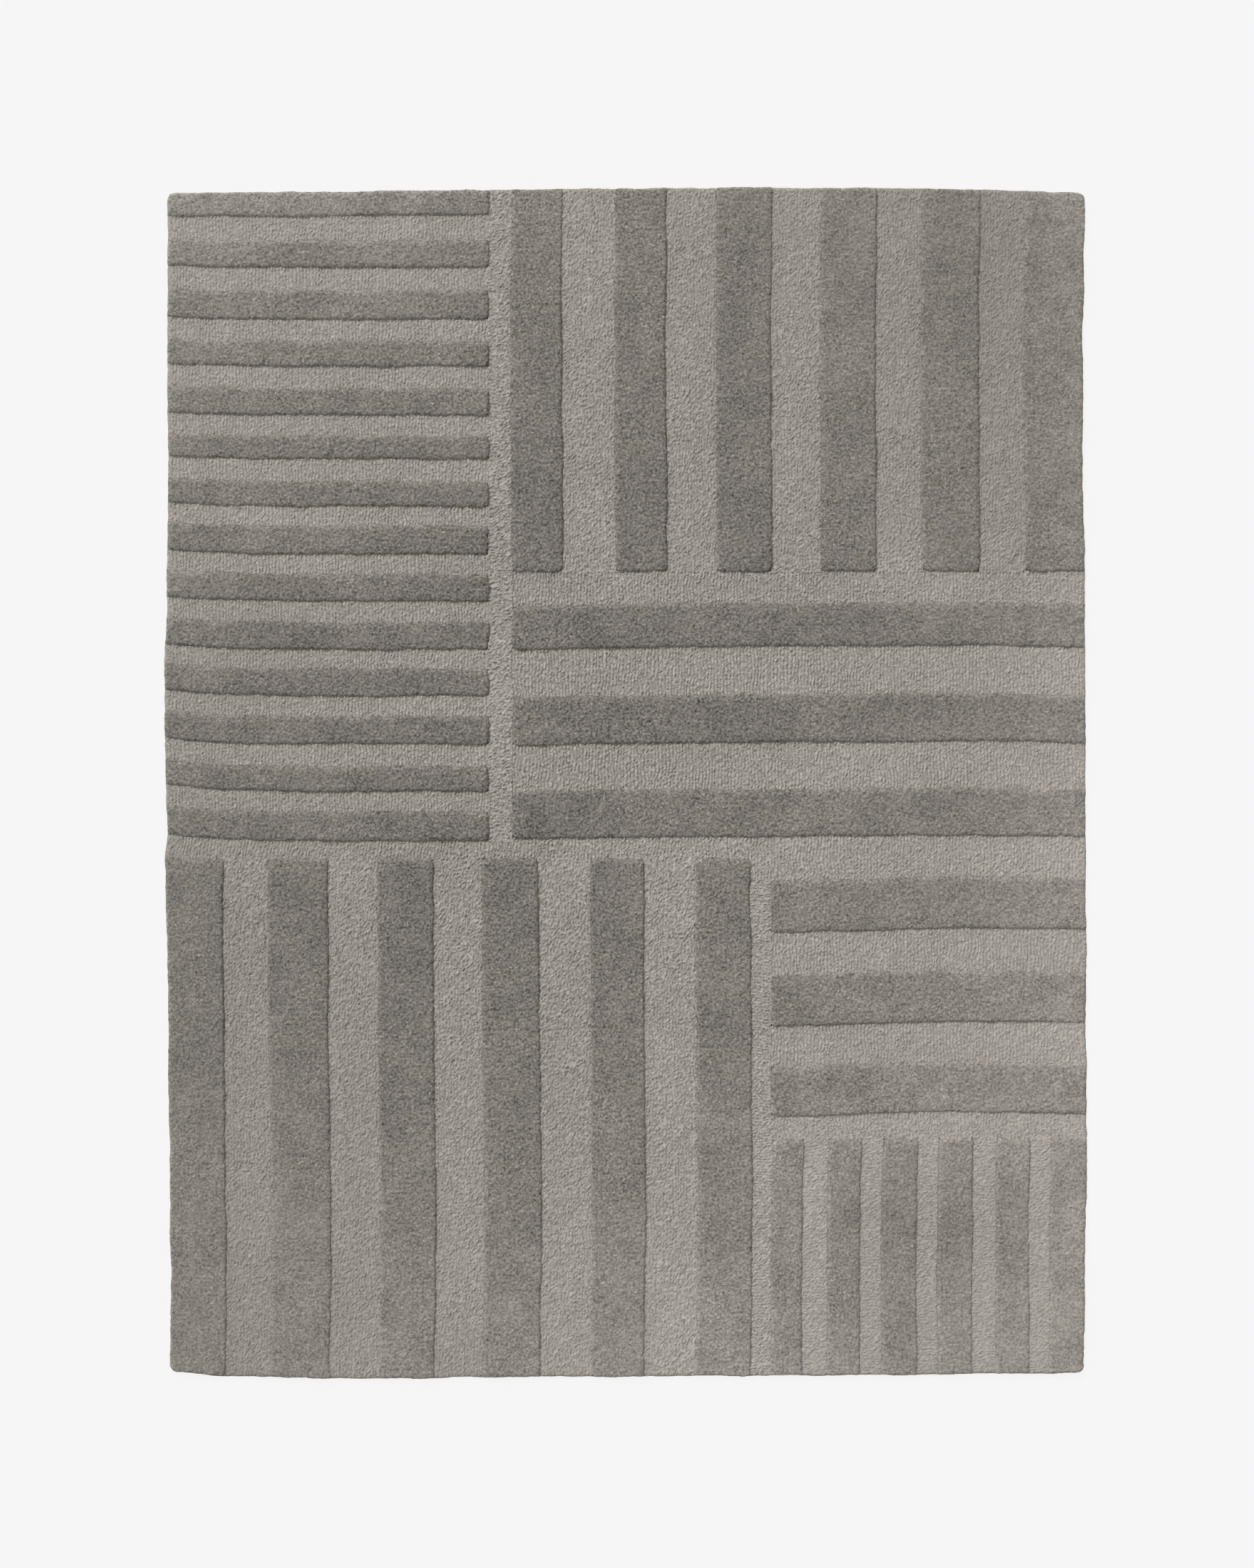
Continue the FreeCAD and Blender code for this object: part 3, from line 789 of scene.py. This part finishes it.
def cut_pile_wool():
    material, tree, surface, place = new_material("cut_pile_wool", 1.0)
    set_sheen(surface, 0.15, 0.5, (0.9, 0.88, 0.85))
    streaked = add(tree, "ShaderNodeMapping", {"Vector": place, "Scale": (1, 1, 0.25)}).outputs[0]
    tufts, fibres = grain(tree, streaked, 4.6 * MM, 2), grain(tree, streaked, 1.8 * MM, 2)
    broad = weighted(tree, 1.0, (
        (grain(tree, place, 260 * MM, 1), 0.30, 0.5),
        (grain(tree, place, 60 * MM, 2), 0.50, 0.5),
        (grain(tree, place, 13 * MM, 2), 0.62, 0.5),
    ))
    fine = weighted(tree, 0, (
        (tufts, 2.10, 0.5),
        (fibres, 0.80, 0.5),
        # Painted highlights of fibre ends that catch the light.
        (painted_glints(tree, streaked, place, 3.4 * MM), 1.0, 0.03),
    ))
    tone = lively(tree, broad, fine)
    colour = worn_rim(tree, place, linear(133, 128, 122), linear(145, 138, 125))
    # The kept tone brings in the painted light and shade along the bars' sides.
    paint(tree, surface, colour, product(tree, tone, kept(tree, "tone")))
    raised = weighted(tree, 0, ((tufts, 1.0, 0.5), (fibres, 0.6, 0.5)))
    bump(tree, surface, lively(tree, 0, raised), 1.6 * MM)
    return material


def loop_pile_wool():
    material, tree, surface, place = new_material("loop_pile_wool", 1.0)
    set_sheen(surface, 0.12, 0.5, (0.95, 0.93, 0.9))
    inputs = {"Vector": place, "Rotation": (0, 0, math.radians(45)), "Scale": (1.35, 0.8, 1)}
    twisted = add(tree, "ShaderNodeMapping", inputs, vector_type="TEXTURE").outputs[0]
    yarn, fibres = grain(tree, twisted, 3.5 * MM, 2), grain(tree, place, 1.2 * MM, 2)
    broad = weighted(tree, 1.0, (
        (grain(tree, place, 260 * MM, 1), 0.20, 0.5),
        (grain(tree, place, 40 * MM, 2), 0.16, 0.5),
    ))
    tone = lively(tree, broad, weighted(tree, 0, ((yarn, 1.2, 0.5), (fibres, 0.95, 0.5))))
    colour = worn_rim(tree, place, linear(175, 169, 162), linear(175, 165, 148))
    # The kept tone brings in the painted shade of the valleys and rounded edges, and painted light on the
    # ridges.
    paint(tree, surface, colour, product(tree, tone, kept(tree, "tone")))
    raised = weighted(tree, 0, ((yarn, 1.0, 0.5), (fibres, 0.4, 0.5)))
    bump(tree, surface, lively(tree, 0, raised), 2.7 * MM)
    return material


def painted_glints(tree, streaked, place, size):
    """Sparse lighter points painted as highlights, where fibre ends catch the light, in some patches more
    than in others.
    """
    limits = {"Value": grain(tree, streaked, size, 1), "From Min": 0.58, "From Max": 0.76}
    points = add(tree, "ShaderNodeMapRange", limits, interpolation_type="SMOOTHSTEP").outputs[0]
    limits = {"Value": grain(tree, place, 110 * MM, 1), "From Min": 0.30, "From Max": 0.66}
    patches = add(tree, "ShaderNodeMapRange", limits).outputs[0]
    return product(tree, points, patches)


def bent(tree, place, size, reach):
    """Places moved about a little, so that woven lines are not ruled straight."""
    inputs = {"Vector": place, "Scale": 1 / size, "Detail": 1.0}
    field = add(tree, "ShaderNodeTexNoise", inputs).outputs[1]
    inputs = {0: field, 1: (2 * reach,) * 3, 2: place}
    return add(tree, "ShaderNodeVectorMath", inputs, operation="MULTIPLY_ADD").outputs[0]


def wave(tree, value, pitch):
    """A sine of a length, one half wave to a pitch."""
    turned = add(tree, "ShaderNodeMath", {0: value, 1: math.pi / pitch}, operation="MULTIPLY").outputs[0]
    return add(tree, "ShaderNodeMath", {0: turned}, operation="SINE").outputs[0]


def plain_weave(tree, place, pitch):
    """Height of a plain weave from 0 to 1: each thread goes over one and under the next."""
    axes = add(tree, "ShaderNodeSeparateXYZ", {0: place}).outputs
    across, along = wave(tree, axes[0], pitch), wave(tree, axes[1], pitch)
    cross = product(tree, product(tree, across, along), 0.5)
    threads = []
    for own, sign in ((across, 1.0), (along, -1.0)):
        size = add(tree, "ShaderNodeMath", {0: own}, operation="ABSOLUTE").outputs[0]
        half = product(tree, size, 0.5)
        inputs = {0: cross, 1: sign, 2: half}
        threads.append(add(tree, "ShaderNodeMath", inputs, operation="MULTIPLY_ADD").outputs[0])
    return add(tree, "ShaderNodeMath", {0: threads[0], 1: threads[1]}, operation="MAXIMUM").outputs[0]


def slubs(tree, place, thick, long):
    """Threads that differ along and across the cloth."""
    warp = add(tree, "ShaderNodeMapping", {"Vector": place, "Scale": (1 / thick, 1 / long, 1)}).outputs[0]
    weft = add(tree, "ShaderNodeMapping", {"Vector": place, "Scale": (1 / long, 1 / thick, 1)}).outputs[0]
    both = [grain(tree, way, 1.0, 1) for way in (warp, weft)]
    return add(tree, "ShaderNodeMath", {0: both[0], 1: both[1]}, operation="ADD").outputs[0]


def woven_cloth(name, colour, pitch):
    """A plain-woven cloth of slubby yarn."""
    material, tree, surface, place = new_material(name, 0.95)
    set_sheen(surface, 0.1, 0.5, (0.9, 0.88, 0.84))
    weave = plain_weave(tree, bent(tree, place, 40 * MM, 1.2 * MM), pitch)
    tone = weighted(tree, 0.98, (
        (weave, 0.65, 0.55),
        (slubs(tree, place, 1.4 * pitch, 22 * pitch), 0.45, 1.0),
        (grain(tree, place, 180 * MM, 2), 0.25, 0.5),
        (grain(tree, place, 0.9 * MM, 1), 0.35, 0.5),
    ))
    paint(tree, surface, linear(*colour), tone)
    raised = weighted(tree, 0, ((weave, 1.0, 0), (grain(tree, place, 0.7 * MM, 1), 0.25, 0)))
    bump(tree, surface, raised, 0.5 * MM)
    return material


def twill_tape(name, colour):
    """Cotton tape with fine diagonal ribs."""
    material, tree, surface, place = new_material(name, 0.9)
    set_sheen(surface, 0.12, 0.4, (0.85, 0.83, 0.8))
    axes = add(tree, "ShaderNodeSeparateXYZ", {0: bent(tree, place, 15 * MM, 0.5 * MM)}).outputs
    slant = add(tree, "ShaderNodeMath", {0: axes[0], 1: axes[1]}, operation="ADD").outputs[0]
    rib = wave(tree, slant, 1.5 * MM)
    tone = weighted(tree, 1.0, (
        (rib, 0.16, 0.0),
        (slubs(tree, place, 1.2 * MM, 25 * MM), 0.35, 1.0),
        (grain(tree, place, 90 * MM, 2), 0.22, 0.5),
        (grain(tree, place, 0.8 * MM, 1), 0.3, 0.5),
    ))
    paint(tree, surface, linear(*colour), tone)
    bump(tree, surface, rib, 0.12 * MM)
    return material


def dried_latex():
    """Rubbery, slightly glossy and mottled."""
    material, tree, surface, place = new_material("latex", 0.55)
    blotches = grain(tree, place, 25 * MM, 3)
    paint(tree, surface, linear(212, 203, 180), weighted(tree, 1.0, ((blotches, 0.25, 0.5),)))
    bump(tree, surface, blotches, 0.8 * MM)
    return material


def twisted_thread():
    """Sewing thread, with the slant of its plies."""
    material, tree, surface, place = new_material("sewing_thread", 0.7)
    axes = add(tree, "ShaderNodeSeparateXYZ", {0: place}).outputs
    slant = add(tree, "ShaderNodeMath", {0: axes[0], 1: axes[1]}, operation="ADD").outputs[0]
    plies = wave(tree, slant, 0.7 * MM)
    tone = weighted(tree, 1.0, ((plies, 0.15, 0.0), (grain(tree, place, 12 * MM, 1), 0.2, 0.5)))
    paint(tree, surface, linear(176, 168, 155), tone)
    bump(tree, surface, plies, 0.15 * MM)
    return material


# ---------------------------------------------------------------------------- build

cut_wool = cut_pile_wool()
loop_wool = loop_pile_wool()

for panel in PANELS:
    for node in bar_nodes(panel):
        cut_pile_bar(node, cut_wool)
    panel_loops(panel, loop_wool)
border_loops(loop_wool)

primary_backing(woven_cloth("primary_cloth", (176, 166, 146), 1.6 * MM))
latex_coat(dried_latex())
secondary_backing(woven_cloth("backing_canvas", (196, 185, 162), 3.2 * MM))
tape_cotton = twill_tape("hem_tape_cotton", (132, 125, 114))
for side in SIDES:
    hem_tape(side, tape_cotton)
hem_stitches(twisted_thread())


# ---------------------------------------------------------------------------- stage

scene = bpy.context.scene
scene.view_settings.view_transform = "Standard"


FLOOR_HALF = 30.0
# A hair below the rug, so that the two never lie in one plane.
FLOOR_LEVEL = -0.2 * MM
FLOOR_GLOW = 0.871
WORLD_LIGHT = 0.46
SUN_STRENGTH = 2.5
SUN_SPREAD = math.radians(24)
# From the upper left, at about 45 degrees.
SUN_TURN = (math.radians(-48), 0, math.radians(34))
CAMERA_HEIGHT = 5.0
# The length, up the upright picture, that the camera sees at the top of the pile.
LENGTH_SEEN = 2.9026
# How far the camera stands off the rug's centre.
CAMERA_X, CAMERA_Y = 3.4 * MM, -3.0 * MM


def floor():
    """A pale floor that hardly darkens where the rug shades it."""
    mesh = bpy.data.meshes.new("floor")
    half, level = FLOOR_HALF, FLOOR_LEVEL
    corners = [(-half, -half, level), (half, -half, level), (half, half, level), (-half, half, level)]
    mesh.from_pydata(corners, [], [(0, 1, 2, 3)])
    piece = bpy.data.objects.new("floor", mesh)
    scene.collection.objects.link(piece)
    material = bpy.data.materials.new("pale_floor")
    material.use_nodes = True
    surface = material.node_tree.nodes["Principled BSDF"]
    surface.inputs["Base Color"].default_value = (0.05, 0.05, 0.05, 1)
    surface.inputs["Roughness"].default_value = 1.0
    surface.inputs["Specular IOR Level"].default_value = 0.0
    surface.inputs["Emission Color"].default_value = (1, 1, 1, 1)
    surface.inputs["Emission Strength"].default_value = FLOOR_GLOW
    mesh.materials.append(material)


def light():
    world = bpy.data.worlds.new("studio")
    scene.world = world
    world.use_nodes = True
    tree = world.node_tree
    background = tree.nodes["Background"]
    background.inputs["Color"].default_value = (1, 1, 1, 1)
    # Seen by the camera the background is twice as bright as the light it gives, to match the floor.
    seen = add(tree, "ShaderNodeLightPath").outputs["Is Camera Ray"]
    inputs = {0: seen, 1: WORLD_LIGHT, 2: WORLD_LIGHT}
    strength = add(tree, "ShaderNodeMath", inputs, operation="MULTIPLY_ADD")
    tree.links.new(strength.outputs[0], background.inputs["Strength"])
    sun = bpy.data.lights.new("key", "SUN")
    sun.energy = SUN_STRENGTH
    sun.angle = SUN_SPREAD
    lamp = bpy.data.objects.new("key", sun)
    scene.collection.objects.link(lamp)
    lamp.rotation_euler = SUN_TURN


def camera():
    view = bpy.data.cameras.new("camera")
    piece = bpy.data.objects.new("camera", view)
    scene.collection.objects.link(piece)
    view.sensor_width = 36
    view.lens = view.sensor_width / 2 / (LENGTH_SEEN / 2 / CAMERA_HEIGHT)
    piece.location = (CAMERA_X, CAMERA_Y, CAMERA_HEIGHT + CUT_TOP)
    scene.camera = piece


floor()
light()
camera()
